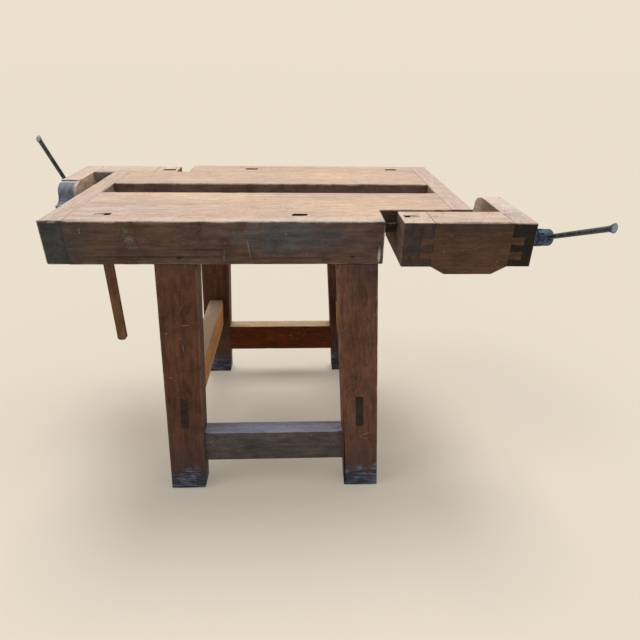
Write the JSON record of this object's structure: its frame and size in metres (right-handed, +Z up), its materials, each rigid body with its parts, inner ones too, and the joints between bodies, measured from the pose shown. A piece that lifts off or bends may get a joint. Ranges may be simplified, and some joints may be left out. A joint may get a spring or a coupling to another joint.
{
  "type": "woodworking bench with tail vises",
  "caption": "Low wooden workbench on splayed legs, with a tool well and an L-shaped dovetailed tail vise, iron screw and sliding bar at each end, for two workers face to face.",
  "frame": {"origin": "on the floor, in the middle of the box round the whole bench, bars included", "axes": "+Z up, +X along the bench towards the front vise, -Y towards the worker in front"},
  "size_m": [1.3432, 0.8288, 0.8919],
  "materials": {
    "worn_top": "bare beech, worn pale and stained dark along its edges",
    "leg_wood": "old red-brown varnish, scratched",
    "vise_wood": "warm brown, oiled and grimy",
    "inner_wood": "unfinished, aged",
    "steel": "dark, handled",
    "painted_iron": "blue paint, chipped"
  },
  "bodies": {
    "bench": {"front_plank": "worn_top", "rear_plank": "worn_top", "right_end_cap": "worn_top", "left_end_cap": "worn_top", "tool_well_board": "inner_wood", "right_bearer": "inner_wood", "left_bearer": "inner_wood", "front_left_leg": "leg_wood", "front_right_leg": "leg_wood", "rear_left_leg": "leg_wood", "rear_right_leg": "leg_wood", "right_side_rail": "inner_wood", "left_side_rail": "inner_wood", "front_stretcher": "leg_wood", "rear_stretcher": "leg_wood", "right_cap_bolt_front": "steel", "right_cap_bolt_rear": "steel", "left_cap_bolt_front": "steel", "left_cap_bolt_rear": "steel", "right_cap_nut_front": "steel", "right_cap_nut_rear": "steel", "left_cap_nut_front": "steel", "left_cap_nut_rear": "steel", "right_guide_rail": "inner_wood", "left_guide_rail": "inner_wood", "right_screw_nut": "steel", "left_screw_nut": "steel"},
    "right_vise": {"right_jaw_block": "vise_wood", "right_chop": "vise_wood", "right_arm": "vise_wood", "right_foot": "inner_wood", "right_runner": "inner_wood", "right_garter_key": "inner_wood", "right_screw_plate": "painted_iron"},
    "left_vise": {"left_jaw_block": "vise_wood", "left_chop": "vise_wood", "left_arm": "vise_wood", "left_foot": "inner_wood", "left_runner": "inner_wood", "left_garter_key": "inner_wood", "left_screw_plate": "painted_iron"},
    "right_spindle": {"right_screw": "painted_iron"},
    "left_spindle": {"left_screw": "painted_iron"},
    "right_tommy_bar": {"right_bar": "steel"},
    "left_tommy_bar": {"left_bar": "steel"},
    "long_dog": {"long_bench_dog": "vise_wood"},
    "vise_dog": {"right_vise_dog": "vise_wood"}
  },
  "joints": [
    {"name": "right_vise_slide", "type": "slide", "parent": "bench", "child": "right_vise", "axis": [1, 0, 0], "range_m": [-0.041, 0.055]},
    {"name": "left_vise_slide", "type": "slide", "parent": "bench", "child": "left_vise", "axis": [-1, 0, 0], "range_m": [-0.041, 0.055]},
    {"name": "right_screw_turn", "type": "hinge", "parent": "right_vise", "child": "right_spindle", "pos_m": [0.609, -0.16828, 0.726], "axis": [1, 0, 0], "range_deg": [-2455, 3295]},
    {"name": "left_screw_turn", "type": "hinge", "parent": "left_vise", "child": "left_spindle", "pos_m": [-0.609, 0.34272, 0.726], "axis": [-1, 0, 0], "range_deg": [-2455, 3295]},
    {"name": "right_bar_slide", "type": "slide", "parent": "right_spindle", "child": "right_tommy_bar", "axis": [0, -0.9245, 0.3811], "range_m": [-0.218, 0]},
    {"name": "left_bar_slide", "type": "slide", "parent": "left_spindle", "child": "left_tommy_bar", "axis": [0, -0.606, 0.7955], "range_m": [-0.158, 0.0595]},
    {"name": "long_dog_slide", "type": "slide", "parent": "bench", "child": "long_dog", "axis": [0.01, 0, 0.9999], "range_m": [0, 0.08]},
    {"name": "vise_dog_slide", "type": "slide", "parent": "right_vise", "child": "vise_dog", "axis": [-0.01, 0, 0.9999], "range_m": [0, 0.06]}
  ],
  "couplings": [
    {"joint": "right_vise_slide", "follows": "right_screw_turn", "m_per_rad": 0.00095493},
    {"joint": "left_vise_slide", "follows": "left_screw_turn", "m_per_rad": 0.00095493}
  ]
}
